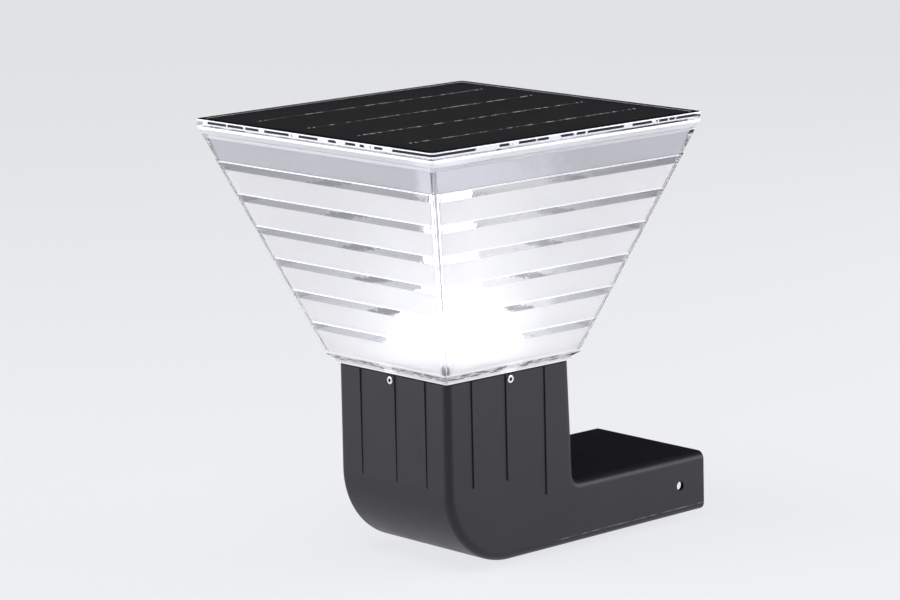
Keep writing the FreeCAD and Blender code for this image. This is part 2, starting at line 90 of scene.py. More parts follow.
def add_node(tree, kind, inputs=None, **settings):
    """Adds a node, sets its properties, and sets each input to a value or links it to a socket."""
    made = tree.nodes.new(kind)
    for name, value in settings.items():
        setattr(made, name, value)
    for name, value in (inputs or {}).items():
        if isinstance(value, bpy.types.NodeSocket):
            tree.links.new(value, made.inputs[name])
        else:
            made.inputs[name].default_value = value
    return made


def new_material(name):
    """A material and its node tree, still empty."""
    material = bpy.data.materials.new(name)
    material.use_nodes = True
    material.node_tree.nodes.clear()
    return material, material.node_tree


def new_piece(name, bm, materials):
    """Turns a bmesh into an object of the scene."""
    mesh = bpy.data.meshes.new(name)
    bm.to_mesh(mesh)
    bm.free()
    for material in materials:
        mesh.materials.append(material)
    piece = bpy.data.objects.new(name, mesh)
    scene.collection.objects.link(piece)
    return piece


# Seen from below, the floor is clear, so that the underside shows.
floor_material, tree = new_material("painted studio floor")
paint = add_node(tree, "ShaderNodeBsdfPrincipled", {
    "Base Color": linear(FLOOR_PAINT), "Roughness": 0.9, "Specular IOR Level": 0.1,
    "Emission Color": linear(FLOOR_TONE), "Emission Strength": FLOOR_GLOW})
below = add_node(tree, "ShaderNodeNewGeometry")
gone = add_node(tree, "ShaderNodeBsdfTransparent")
either = add_node(tree, "ShaderNodeMixShader", {
    0: below.outputs["Backfacing"], 1: paint.outputs[0], 2: gone.outputs[0]})
add_node(tree, "ShaderNodeOutputMaterial", {"Surface": either.outputs[0]})
bm = bmesh.new()
bmesh.ops.create_circle(bm, cap_ends=True, segments=64, radius=FLOOR_REACH,
                        matrix=Matrix.Translation((0, 0, cad_box[0].z - FLOOR_GAP)))
floor = new_piece("floor", bm, [floor_material])

world = bpy.data.worlds.new("studio")
scene.world = world
world.use_nodes = True
tree = world.node_tree
tree.nodes.clear()
path = add_node(tree, "ShaderNodeLightPath")
seen = add_node(tree, "ShaderNodeMath", {
    0: path.outputs["Is Camera Ray"], 1: path.outputs["Is Transmission Ray"]}, operation="MAXIMUM")
tone = add_node(tree, "ShaderNodeMix", {
    "Factor": seen.outputs[0], "A": linear(STUDIO_TONE), "B": linear(FLOOR_TONE)}, data_type="RGBA")
sky = add_node(tree, "ShaderNodeBackground", {"Color": tone.outputs["Result"], "Strength": 1.0})
add_node(tree, "ShaderNodeOutputWorld", {"Surface": sky.outputs[0]})

for name, azimuth, elevation, power in SOFT_BOXES:
    turn = math.radians(azimuth)
    rise = math.radians(elevation)
    away = Vector((math.sin(turn) * math.cos(rise), -math.cos(turn) * math.cos(rise), math.sin(rise)))
    lamp = bpy.data.lights.new(name, "AREA")
    lamp.shape = "RECTANGLE"
    lamp.size = BOX_WIDTH
    lamp.size_y = BOX_HEIGHT
    lamp.color = BOX_TINT
    lamp.energy = power
    box = bpy.data.objects.new(name, lamp)
    place = Matrix.Translation(BOX_AIM + away * BOX_DISTANCE)
    box.matrix_world = place @ away.to_track_quat("Z", "Y").to_matrix().to_4x4()
    box.visible_transmission = False
    box.visible_glossy = name != "back_box"
    scene.collection.objects.link(box)

# Light that is caught in clear walls runs a long way before it leaves at an edge.
scene.cycles.max_bounces = LIGHT_BOUNCES
scene.cycles.glossy_bounces = LIGHT_BOUNCES
scene.cycles.transmission_bounces = LIGHT_BOUNCES
scene.cycles.use_denoising = True

# Camera: a long lens at the photograph's place, at the front right and a little above the lantern's top.
# It is rolled by a degree or so, as the photograph is.
CAMERA_AIM = Vector((0, -0.15395, 0.124))
CAMERA_DISTANCE = 2.1873
CAMERA_AZIMUTH = 48.62
CAMERA_ELEVATION = 10.88
CAMERA_ROLL = -1.34
CAMERA_SENSOR = 36.0
CAMERA_LENS = 155.24
camera_data = bpy.data.cameras.new("camera")
camera_data.sensor_width = CAMERA_SENSOR
camera_data.lens = CAMERA_LENS
camera = bpy.data.objects.new("camera", camera_data)
camera.matrix_world = (
    Matrix.Translation(CAMERA_AIM)
    @ Matrix.Rotation(math.radians(CAMERA_AZIMUTH), 4, "Z")
    @ Matrix.Rotation(math.radians(90 - CAMERA_ELEVATION), 4, "X")
    @ Matrix.Rotation(math.radians(CAMERA_ROLL), 4, "Z")
    @ Matrix.Translation((0, 0, CAMERA_DISTANCE))
)
scene.collection.objects.link(camera)
scene.camera = camera

# Housing: one hollow moulding, a column that turns into a flat arm, in charcoal ABS.
# The mould was spark eroded, which leaves a fine even grain; the ribs are part of the moulding.
HOUSING_DARK = "#17161b"
HOUSING_LIGHT = "#28272d"
TONE_DRIFT = 30 * MM
GLOSS_DRIFT = 0.04
GRAIN_SHARE = 0.6
NOISE_LOW = 0.3
NOISE_HIGH = 0.7
ARM_BOTTOM = -17.5 * MM
UNDER_SLOPE = 0.0094
# A pale line painted along the arm's lower side stands in for a highlight there.
ARM_HIGHLIGHT_TONE = "#6a6964"
ARM_HIGHLIGHT_HEIGHT = 4.5 * MM
ARM_HIGHLIGHT_WIDTH = 0.6 * MM
ARM_HIGHLIGHT_LENGTH = 118 * MM
ARM_HIGHLIGHT_BREAKS = 8 * MM


def moulded(name, dark, light, roughness, grain, depth, specular=0.5):
    """A plastic or rubber skin: two close tones, a gloss that drifts with them, and the mould's fine
    grain, whose width and depth are in millimetres."""
    material, tree = new_material(name)
    place = add_node(tree, "ShaderNodeTexCoord").outputs["Object"]
    drift = add_node(tree, "ShaderNodeTexNoise", {"Vector": place, "Scale": 1 / TONE_DRIFT, "Detail": 3.0})
    grit = add_node(tree, "ShaderNodeTexNoise", {
        "Vector": place, "Scale": 1 / (grain * MM), "Detail": 2.0})
    mottle = add_node(tree, "ShaderNodeMix", {
        "Factor": GRAIN_SHARE, "A": drift.outputs["Fac"], "B": grit.outputs["Fac"]})
    tone = add_node(tree, "ShaderNodeMix", {
        "Factor": mottle.outputs["Result"], "A": linear(dark), "B": linear(light)}, data_type="RGBA")
    gloss = add_node(tree, "ShaderNodeMapRange", {
        "Value": drift.outputs["Fac"], "From Min": NOISE_LOW, "From Max": NOISE_HIGH,
        "To Min": roughness - GLOSS_DRIFT, "To Max": roughness + GLOSS_DRIFT})
    bump = add_node(tree, "ShaderNodeBump", {"Height": grit.outputs["Fac"], "Distance": depth * MM})
    shader = add_node(tree, "ShaderNodeBsdfPrincipled", {
        "Base Color": tone.outputs["Result"], "Roughness": gloss.outputs["Result"],
        "Specular IOR Level": specular, "Normal": bump.outputs["Normal"]})
    add_node(tree, "ShaderNodeOutputMaterial", {"Surface": shader.outputs["BSDF"]})
    return material


def dress(material, *names):
    """Gives carried-over solids their finish."""
    for name in names:
        mesh = nodes[name].data
        mesh.materials.clear()
        mesh.materials.append(material)


# The real grain is about 0.2 mm; it is drawn at 0.9 mm, the finest that shows at this distance.
charcoal = moulded("spark-eroded charcoal ABS", HOUSING_DARK, HOUSING_LIGHT, 0.42, 0.9, 0.03, 0.36)
# A painted highlight: a pale, broken line is painted low on the arm's sides, along the straight arm.
tree = charcoal.node_tree
base = tree.nodes["Principled BSDF"].inputs["Base Color"]
place = add_node(tree, "ShaderNodeTexCoord").outputs["Object"]
xyz = add_node(tree, "ShaderNodeSeparateXYZ", {0: place})
level = add_node(tree, "ShaderNodeMath", {
    0: xyz.outputs["Y"], 1: -UNDER_SLOPE, 2: xyz.outputs["Z"]}, operation="MULTIPLY_ADD")
line = add_node(tree, "ShaderNodeMath", {
    0: level.outputs[0], 1: ARM_BOTTOM + ARM_HIGHLIGHT_HEIGHT, 2: ARM_HIGHLIGHT_WIDTH / 2}, operation="COMPARE")
arm = add_node(tree, "ShaderNodeMath", {0: xyz.outputs["Y"], 1: -ARM_HIGHLIGHT_LENGTH}, operation="GREATER_THAN")
breaks = add_node(tree, "ShaderNodeTexNoise", {"Vector": place, "Scale": 1 / ARM_HIGHLIGHT_BREAKS, "Detail": 3.0})
highlight_breaks = add_node(tree, "ShaderNodeMapRange", {
    "Value": breaks.outputs["Fac"], "From Min": 0.36, "From Max": 0.62})
line = add_node(tree, "ShaderNodeMath", {0: line.outputs[0], 1: arm.outputs[0]}, operation="MULTIPLY")
line = add_node(tree, "ShaderNodeMath", {
    0: line.outputs[0], 1: highlight_breaks.outputs["Result"]}, operation="MULTIPLY")
tone = add_node(tree, "ShaderNodeMix", {
    "Factor": line.outputs[0], "A": base.links[0].from_socket, "B": linear(ARM_HIGHLIGHT_TONE)}, data_type="RGBA")
tree.links.new(tone.outputs["Result"], base)
dress(charcoal, "housing")

# Power switch: a sealed push switch in the housing's underside. A satin ABS bezel shows outside, a plated
# nut clamps it from inside on a phenolic body, and a silicone cap is pressed up into the bezel.
METAL_PATCH = 1.2 * MM
HOLLOW_REACH = 1.5 * MM
HOLLOW_SHADE = "#08080a"
dress(moulded("satin black ABS", "#141416", "#1a1a1d", 0.34, 0.9, 0.01), "switch_bezel")
dress(moulded("moulded phenolic", "#17130f", "#211b16", 0.48, 1.0, 0.02), "switch_body")
dress(moulded("soft silicone rubber", "#56565a", "#606064", 0.62, 1.1, 0.03), "button_cap")


def worked_metal(name, colour, low, high):
    """A tumbled or plated metal: a satin with brighter and duller patches between two roughnesses, and
    painted shade that darkens its hollows."""
    material, tree = new_material(name)
    place = add_node(tree, "ShaderNodeTexCoord").outputs["Object"]
    patch = add_node(tree, "ShaderNodeTexNoise", {"Vector": place, "Scale": 1 / METAL_PATCH, "Detail": 2.0})
    satin = add_node(tree, "ShaderNodeMapRange", {
        "Value": patch.outputs["Fac"], "From Min": NOISE_LOW, "From Max": NOISE_HIGH, "To Min": low,
        "To Max": high})
    # Painted shade: the colour goes dark where the surface is closed in, as in a screw's socket.
    hollow = add_node(tree, "ShaderNodeAmbientOcclusion", {"Distance": HOLLOW_REACH})
    unshaded = add_node(tree, "ShaderNodeMapRange", {
        "Value": hollow.outputs["AO"], "From Min": 0.45, "From Max": 0.85})
    tone = add_node(tree, "ShaderNodeMix", {
        "Factor": unshaded.outputs["Result"], "A": linear(HOLLOW_SHADE), "B": linear(colour)}, data_type="RGBA")
    shader = add_node(tree, "ShaderNodeBsdfPrincipled", {
        "Base Color": tone.outputs["Result"], "Metallic": 1.0, "Roughness": satin.outputs["Result"]})
    add_node(tree, "ShaderNodeOutputMaterial", {"Surface": shader.outputs["BSDF"]})
    return material


dress(worked_metal("nickel-plated brass", "#c9c2b0", 0.18, 0.34), "switch_nut")

# Column gasket: a flat ring of black EPDM rubber squeezed between the column's top and the lens base.
# Cut from sheet, so its edge is dull and slightly uneven.
dress(moulded("cut EPDM rubber", "#0c0c0d", "#131314", 0.72, 1.5, 0.03), "column_gasket")

# Lens base: the clear stepped flange under the lens, injection moulded in acrylic, with bosses, a floor
# and a spigot. Flow lines from the mould streak its edges grey, and the flange is painted paler over the
# thick screw bosses behind it, a painted highlight for the lit bosses seen through.
ACRYLIC_IOR = 1.49
AXIS_Y = sum(corner.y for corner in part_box("lens_base")) / 2
FLANGE_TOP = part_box("lens_shade")[0].z
FLANGE_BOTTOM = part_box("column_gasket")[1].z
FLANGE_EDGE = 1.5 * MM
LIP_HEIGHT = 2.2 * MM
EDGE_LINE = 0.8 * MM
EDGE_GLOW = "#f6f6fa"
FLANGE_STREAK = "#646466"
FLANGE_PALE = "#e0e0e2"
FLANGE_BOSS_HIGHLIGHT = "#f6f6f7"
STREAK_WIDTH = 7 * MM
STREAK_FLATTENED = 6.0
BOSS_REACH = 4.5 * MM
BOSS_SPECKLE = 2 * MM
BOSS_RAGGED = 14 * MM
BOSS_BLUR = 1 * MM
hazy, tree = new_material("hazy moulded acrylic")
place = add_node(tree, "ShaderNodeTexCoord").outputs["Object"]
centred = add_node(tree, "ShaderNodeMapping", {"Vector": place, "Location": (0, -AXIS_Y, 0)})
centred = centred.outputs["Vector"]
stretch = add_node(tree, "ShaderNodeMapping", {"Vector": centred, "Scale": (1.0, 1.0, STREAK_FLATTENED)})
streak = add_node(tree, "ShaderNodeTexNoise", {
    "Vector": stretch.outputs["Vector"], "Scale": 1 / STREAK_WIDTH, "Detail": 3.0, "Roughness": 0.6})
lines = add_node(tree, "ShaderNodeMapRange", {
    "Value": streak.outputs["Fac"], "From Min": 0.46, "From Max": 0.54})
tone = add_node(tree, "ShaderNodeMix", {
    "Factor": lines.outputs["Result"], "A": linear(FLANGE_STREAK), "B": linear(FLANGE_PALE)},
    data_type="RGBA")
# The streaks stay between the two steps.
xyz = add_node(tree, "ShaderNodeSeparateXYZ", {0: centred})
slope = add_node(tree, "ShaderNodeMapRange", {
    "Value": xyz.outputs["Z"], "From Min": FLANGE_BOTTOM + LIP_HEIGHT, "From Max": FLANGE_TOP - FLANGE_EDGE,
    "To Min": -1.0, "To Max": 1.0}, clamp=False)
slope = add_node(tree, "ShaderNodeMath", {0: slope.outputs["Result"]}, operation="ABSOLUTE")
steps = add_node(tree, "ShaderNodeMapRange", {"Value": slope.outputs[0], "From Min": 1.1, "From Max": 1.3})
tone = add_node(tree, "ShaderNodeMix", {
    "Factor": steps.outputs["Result"], "A": tone.outputs["Result"], "B": linear(FLANGE_PALE)},
    data_type="RGBA")
# A boss stands behind the middle of each side; the flange is painted paler over it, a painted highlight.
across = add_node(tree, "ShaderNodeMath", {0: xyz.outputs["X"]}, operation="ABSOLUTE")
along = add_node(tree, "ShaderNodeMath", {0: xyz.outputs["Y"]}, operation="ABSOLUTE")
near = add_node(tree, "ShaderNodeMath", {0: across.outputs[0], 1: along.outputs[0]}, operation="MINIMUM")
speckle = add_node(tree, "ShaderNodeTexNoise", {"Vector": place, "Scale": 1 / BOSS_SPECKLE, "Detail": 2.0})
ragged = add_node(tree, "ShaderNodeMath", {
    0: speckle.outputs["Fac"], 1: BOSS_RAGGED, 2: near.outputs[0]}, operation="MULTIPLY_ADD")
boss_highlight = add_node(tree, "ShaderNodeMapRange", {
    "Value": ragged.outputs[0], "From Min": BOSS_REACH + BOSS_RAGGED / 2 + BOSS_BLUR,
    "From Max": BOSS_REACH + BOSS_RAGGED / 2})
tone = add_node(tree, "ShaderNodeMix", {
    "Factor": boss_highlight.outputs["Result"], "A": tone.outputs["Result"], "B": linear(FLANGE_BOSS_HIGHLIGHT)},
    data_type="RGBA")
# Painted glow at the flange's top and bottom edges: an emission that stands in for light that runs inside
# the acrylic and leaves there.
top_edge = add_node(tree, "ShaderNodeMapRange", {
    "Value": xyz.outputs["Z"], "From Min": FLANGE_TOP - EDGE_LINE, "From Max": FLANGE_TOP - EDGE_LINE / 2})
low_edge = add_node(tree, "ShaderNodeMapRange", {
    "Value": xyz.outputs["Z"], "From Min": FLANGE_BOTTOM + EDGE_LINE,
    "From Max": FLANGE_BOTTOM + EDGE_LINE / 2})
edges = add_node(tree, "ShaderNodeMath", {
    0: top_edge.outputs["Result"], 1: low_edge.outputs["Result"]}, operation="MAXIMUM")
glow = add_node(tree, "ShaderNodeMix", {
    "Factor": edges.outputs[0], "A": linear("#000000"), "B": linear(EDGE_GLOW)}, data_type="RGBA")
bump = add_node(tree, "ShaderNodeBump", {"Height": streak.outputs["Fac"], "Distance": 0.08 * MM})
shader = add_node(tree, "ShaderNodeBsdfPrincipled", {
    "Base Color": tone.outputs["Result"], "Roughness": 0.15, "IOR": ACRYLIC_IOR,
    "Transmission Weight": 0.25, "Emission Color": glow.outputs["Result"], "Emission Strength": 0.25,
    "Normal": bump.outputs["Normal"]})
add_node(tree, "ShaderNodeOutputMaterial", {"Surface": shader.outputs["BSDF"]})
dress(hazy, "lens_base")
nodes["lens_base"].visible_shadow = False

# Column screws: small stainless socket screws, turned and tumbled, that hold the lens base in the column.
# The same steel makes the screws of the LED board, the battery cradle and the control board.
dress(worked_metal("tumbled stainless steel", "#e2e0da", 0.2, 0.38),
      "column_screws", "led_screws", "cradle_screws", "board_screws")

# Battery: one lithium cell in a blue shrink sleeve, in a glass-filled nylon cradle with plated spring
# contacts. The sleeve is a glossy film with soft ripples where it shrank.
dress(moulded("shrunk PVC sleeve", "#1d4378", "#255089", 0.28, 4.0, 0.08), "battery_cell")
dress(moulded("glass-filled nylon", "#161617", "#1e1e20", 0.55, 0.8, 0.03), "battery_cradle")
dress(worked_metal("nickel-plated spring strip", "#d6c9a6", 0.16, 0.3), "battery_contacts")

# Control board: glass-epoxy laminate under green solder mask, with moulded parts soldered to its
# underside. The mask follows the copper below it, which shows as slightly raised lighter tracks.
TRACK_PITCH = 2.5 * MM
mask, tree = new_material("green solder mask")
place = add_node(tree, "ShaderNodeTexCoord").outputs["Object"]
track = add_node(tree, "ShaderNodeTexBrick", {
    "Vector": place, "Scale": 1 / (8 * TRACK_PITCH), "Mortar Size": 0.06,
    "Color1": linear("#123c22"), "Color2": linear("#164527"), "Mortar": linear("#1f5a35")})
bump = add_node(tree, "ShaderNodeBump", {"Height": track.outputs["Fac"], "Distance": 0.05 * MM})
shader = add_node(tree, "ShaderNodeBsdfPrincipled", {
    "Base Color": track.outputs["Color"], "Roughness": 0.3, "Normal": bump.outputs["Normal"]})
add_node(tree, "ShaderNodeOutputMaterial", {"Surface": shader.outputs["BSDF"]})
dress(mask, "control_board")
dress(moulded("moulded epoxy", "#131314", "#1c1c1e", 0.5, 0.6, 0.02), "board_parts")

# Leads: stranded wire in extruded PVC, one sleeve for each pair, from the panel, the LEDs, the battery
# and the switch. Extrusion leaves a soft gloss and a faint wave along the wire.
for name, dark, light in (("panel_lead", "#121213", "#1a1a1b"), ("led_lead", "#8c1a1a", "#9a2222"),
                          ("battery_lead", "#121213", "#1a1a1b"), ("switch_lead", "#1c3a7a", "#244488")):
    dress(moulded("extruded PVC " + name, dark, light, 0.4, 3.0, 0.03), name)

# Corner keys: grey nylon blocks in the lens corners that centre it on the base.
# Plain injection mouldings with a dull skin.
dress(moulded("moulded nylon", "#94949a", "#bcbcc2", 0.5, 0.8, 0.03), "corner_keys")

# Light engine: a round aluminium board with white solder mask and two rings of LEDs under yellow phosphor.
# The mask is a matt paint with a faint orange peel, and the lit phosphor is speckled by its grains, which
# are drawn coarser than they are so that they show.
PHOSPHOR_GRAIN = 0.6 * MM
dress(moulded("white solder mask", "#dcdcda", "#e6e6e4", 0.45, 1.2, 0.02), "led_board")
phosphor, tree = new_material("lit phosphor silicone")
place = add_node(tree, "ShaderNodeTexCoord").outputs["Object"]
grain = add_node(tree, "ShaderNodeTexNoise", {"Vector": place, "Scale": 1 / PHOSPHOR_GRAIN, "Detail": 2.0})
tone = add_node(tree, "ShaderNodeMix", {
    "Factor": grain.outputs["Fac"], "A": linear("#e8c45c"), "B": linear("#f6dc86")}, data_type="RGBA")
shader = add_node(tree, "ShaderNodeBsdfPrincipled", {
    "Base Color": tone.outputs["Result"], "Roughness": 0.35, "Emission Color": linear("#fff6e0"),
    "Emission Strength": 3.0})
add_node(tree, "ShaderNodeOutputMaterial", {"Surface": shader.outputs["BSDF"]})
dress(phosphor, "led_chips")

# Inner diffuser: a stepped core of opal polycarbonate over the LEDs that spreads their light through the
# lantern. Its lit tiers glow most; the foot under them and the far end of the tube stay dim.
CORE_GLOW = 2.7
CORE_DIM = "#141416"
CORE_LIT = "#fdfdff"
GLOW_START = 1.0 * MM
GLOW_FULL = 4.0 * MM
TUBE_LIT = 18 * MM
TUBE_DIM = 2 * MM
core_low, core_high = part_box("inner_diffuser")
opal, tree = new_material("lit opal polycarbonate")
place = add_node(tree, "ShaderNodeTexCoord").outputs["Object"]
xyz = add_node(tree, "ShaderNodeSeparateXYZ", {0: place})
foot = add_node(tree, "ShaderNodeMapRange", {
    "Value": xyz.outputs["Z"], "From Min": core_low.z + GLOW_START, "From Max": core_low.z + GLOW_FULL})
tube = add_node(tree, "ShaderNodeMapRange", {
    "Value": xyz.outputs["Z"], "From Min": core_high.z - TUBE_LIT, "From Max": core_high.z - TUBE_DIM,
    "To Min": 1.0, "To Max": 0.1})
lit = add_node(tree, "ShaderNodeMath", {
    0: foot.outputs["Result"], 1: tube.outputs["Result"]}, operation="MULTIPLY")
glow = add_node(tree, "ShaderNodeMix", {
    "Factor": lit.outputs[0], "A": linear(CORE_DIM), "B": linear(CORE_LIT)}, data_type="RGBA")
shader = add_node(tree, "ShaderNodeBsdfPrincipled", {
    "Base Color": linear("#f2f2f5"), "Roughness": 0.45, "Emission Color": glow.outputs["Result"],
    "Emission Strength": CORE_GLOW})
add_node(tree, "ShaderNodeOutputMaterial", {"Surface": shader.outputs["BSDF"]})
dress(opal, "inner_diffuser")

# Lens shade: an inverted pyramid moulded in acrylic, with a collar that goes up inside the cover's skirt.
# The mould frosts its faces, except for the four corner posts and six polished stripes that stand proud.
# The stripes are painted lighter towards one side of the lantern and greyer towards the other, painted
# light and shade for how the hollow behind them is lit.
cover_low, cover_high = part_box("top_cover")
FOOT_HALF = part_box("lens_base")[1].x
FOOT_LEVEL = FLANGE_TOP
RIM_HALF = cover_high.x
SKIRT_FLARE = 7.3 * MM
LENS_HALF = RIM_HALF - SKIRT_FLARE
LENS_LEVEL = cover_low.z
LENS_LEAN = (LENS_HALF - FOOT_HALF) / (LENS_LEVEL - FOOT_LEVEL)
LENS_WALL = 2.3 * MM
COLLAR_SHELF = 0.95 * MM
COLLAR_LOW = LENS_HALF - COLLAR_SHELF
COLLAR_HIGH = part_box("cover_seal")[1].x
COLLAR_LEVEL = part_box("lens_shade")[1].z
COLLAR_WALL = 2.0 * MM
COLLAR_ROUND = 0.3 * MM
STRIPES = 6
STRIPE_HEIGHT = 4.5 * MM
STRIPE_PROUD = 0.9 * MM
STRIPE_DRAFT = 0.25 * MM
STRIPE_GAP = 0.4 * MM
STRIPE_PITCH = (LENS_LEVEL - FOOT_LEVEL) / STRIPES
STRIPE_ROUND = 0.25 * MM
POST_WIDTH = 3.8 * MM
POST_ROUND = 0.8 * MM
# Where the stripes, the collar and the shoulder are painted lighter: painted light on the side that faces
# this azimuth.
LIT_SIDE_AZIMUTH = 82
LIT_SIDE_EDGE = 1.03
LIT_SIDE_BLUR = 0.03
LIT_SIDE_RAGGED = 0.1
LIT_SIDE_PATCH = 9 * MM
FROST_GRAIN = 1.1 * MM
EDGE_NICKS = 6 * MM
LARGEST_ROUND = 8 * MM
NEARLY = 0.01 * MM


def lens_half(level):
    """Half the lens's outside width at a level."""
    return FOOT_HALF + LENS_LEAN * (level - FOOT_LEVEL)


def square_turned(profile):
    """Sweeps a closed profile of half widths and levels square about the lantern's axis."""
    bm = bmesh.new()
    points = [bm.verts.new((half, AXIS_Y + half, level)) for half, level in profile]
    edges = [bm.edges.new(pair) for pair in zip(points, points[1:] + points[:1])]
    bmesh.ops.spin(bm, geom=points + edges, cent=(0, AXIS_Y, 0), axis=(0, 0, 1), angle=2 * math.pi,
                   steps=4, use_merge=True)
    bmesh.ops.remove_doubles(bm, verts=bm.verts, dist=NEARLY / 10)
    bmesh.ops.recalc_face_normals(bm, faces=bm.faces)
    return bm


def slice_faces(bm, faces, point, normal):
    """Cuts some faces along a plane and leaves the others whole."""
    cut = dict.fromkeys(faces)
    for face in faces:
        cut.update(dict.fromkeys(face.edges))
        cut.update(dict.fromkeys(face.verts))
    bmesh.ops.bisect_plane(bm, geom=list(cut), dist=NEARLY / 10, plane_co=point, plane_no=normal)


def half_of(point):
    """How far a point stands from the lantern's axis, measured square."""
    return max(abs(point.x), abs(point.y - AXIS_Y))


def is_corner(edge):
    """True for an edge that lies on one of the four corners."""
    return all(abs(abs(v.co.x) - abs(v.co.y - AXIS_Y)) < NEARLY for v in edge.verts)


def is_level(edge, level):
    """True for an edge that runs round the lantern at one level."""
    return all(abs(v.co.z - level) < NEARLY for v in edge.verts)


def is_wall(face):
    """True for the sloping faces of the lens and its collar, inside and outside."""
    return abs(face.normal.z) < 0.5


def mark_rounds(bm, radius_of):
    """Stores each edge's rounding, as a share of the largest one."""
    weight = bm.edges.layers.float.new("bevel_weight_edge")
    for edge in bm.edges:
        edge[weight] = radius_of(edge) / LARGEST_ROUND


def round_edges(piece):
    """Rounds the marked edges and keeps the flat faces flat."""
    rounding = piece.modifiers.new("rounded edges", "BEVEL")
    rounding.width = LARGEST_ROUND
    rounding.segments = 3
    rounding.limit_method = "WEIGHT"
    rounding.use_clamp_overlap = False
    rounding.harden_normals = True
    for face in piece.data.polygons:
        face.use_smooth = True
    piece.data.set_sharp_from_angle(angle=math.radians(15))


stripe_tops = [LENS_LEVEL - STRIPE_GAP - i * STRIPE_PITCH for i in range(STRIPES)]
levels = sorted([FOOT_LEVEL, LENS_LEVEL] + stripe_tops + [top - STRIPE_HEIGHT for top in stripe_tops])
profile = [(lens_half(level), level) for level in levels]
profile += [(COLLAR_LOW, LENS_LEVEL), (COLLAR_HIGH, COLLAR_LEVEL)]
profile += [(COLLAR_HIGH - COLLAR_WALL, COLLAR_LEVEL), (COLLAR_LOW - COLLAR_WALL, LENS_LEVEL)]
profile += [(lens_half(level) - LENS_WALL, level) for level in reversed(levels)]
bm = square_turned(profile)

# The corner posts are marked off by a cut near each end of each side.
for along, across in ((Vector((1, 0, 0)), Vector((0, 1, 0))), (Vector((0, 1, 0)), Vector((1, 0, 0)))):
    for end in (-1, 1):
        bm.normal_update()
        panes = [f for f in bm.faces if is_wall(f) and abs(f.normal.dot(across)) > 0.8]
        start = Vector((0, AXIS_Y, FOOT_LEVEL)) + along * end * (FOOT_HALF - POST_WIDTH)
        slice_faces(bm, panes, start, along * end - Vector((0, 0, LENS_LEAN)))

bm.normal_update()
FROSTED = 0
STRIPE = 1
COLLAR = 2
EDGE = 3
POST = 4
stripes = []
for face in bm.faces:
    middle = face.calc_center_median()
    away = middle - Vector((0, AXIS_Y, middle.z))
    between_posts = min(abs(away.x), abs(away.y)) < MM
    face.material_index = POST
    if is_wall(face) and between_posts and middle.z > LENS_LEVEL:
        face.material_index = COLLAR
    elif is_wall(face) and between_posts:
        on_stripe = any(top - STRIPE_HEIGHT < middle.z < top for top in stripe_tops)
        face.material_index = STRIPE if on_stripe else FROSTED
        if on_stripe and face.normal.dot(away) > 0:
            stripes.append(face)
sides = bmesh.ops.inset_individual(bm, faces=stripes, thickness=STRIPE_DRAFT, depth=STRIPE_PROUD)
# The stripes' upward sides take the glowing edge material, a painted highlight along each stripe's top.
for face in sides["faces"]:
    face.material_index = EDGE if face.normal.z > 0.5 else STRIPE
stripe_edges = {edge for face in stripes for edge in face.edges}


def lens_round(edge):
    """The rounding of the lens's corners, of the stripes and of the collar's top edge."""
    if is_corner(edge):
        return POST_ROUND
    if edge in stripe_edges:
        return STRIPE_ROUND
    return COLLAR_ROUND if is_level(edge, COLLAR_LEVEL) else 0.0


mark_rounds(bm, lens_round)


def lit_side_tone(tree, place, shaded_tone, lit_tone):
    """A tint with painted light and shade: lighter towards one side of the lantern, greyer past a ragged
    line.
    """
    xyz = add_node(tree, "ShaderNodeSeparateXYZ", {0: place})
    half = add_node(tree, "ShaderNodeMapRange", {
        "Value": xyz.outputs["Z"], "From Min": FOOT_LEVEL, "From Max": LENS_LEVEL, "To Min": FOOT_HALF,
        "To Max": LENS_HALF}, clamp=False)
    turn = math.radians(LIT_SIDE_AZIMUTH)
    reach = add_node(tree, "ShaderNodeVectorMath", {
        0: place, 1: (math.sin(turn), -math.cos(turn), 0)}, operation="DOT_PRODUCT")
    reach = add_node(tree, "ShaderNodeMath", {
        0: reach.outputs["Value"], 1: -AXIS_Y * math.cos(turn)}, operation="SUBTRACT")
    share = add_node(tree, "ShaderNodeMath", {
        0: reach.outputs[0], 1: half.outputs["Result"]}, operation="DIVIDE")
    crumbs = add_node(tree, "ShaderNodeTexNoise", {
        "Vector": place, "Scale": 1 / LIT_SIDE_PATCH, "Detail": 3.0})
    front = add_node(tree, "ShaderNodeMath", {
        0: crumbs.outputs["Fac"], 1: LIT_SIDE_RAGGED, 2: share.outputs[0]}, operation="MULTIPLY_ADD")
    lit_mask = add_node(tree, "ShaderNodeMapRange", {
        "Value": front.outputs[0], "From Min": LIT_SIDE_EDGE - LIT_SIDE_BLUR, "From Max": LIT_SIDE_EDGE + LIT_SIDE_BLUR})
    tone = add_node(tree, "ShaderNodeMix", {
        "Factor": lit_mask.outputs["Result"], "A": linear(shaded_tone), "B": linear(lit_tone)}, data_type="RGBA")
    return tone.outputs["Result"]


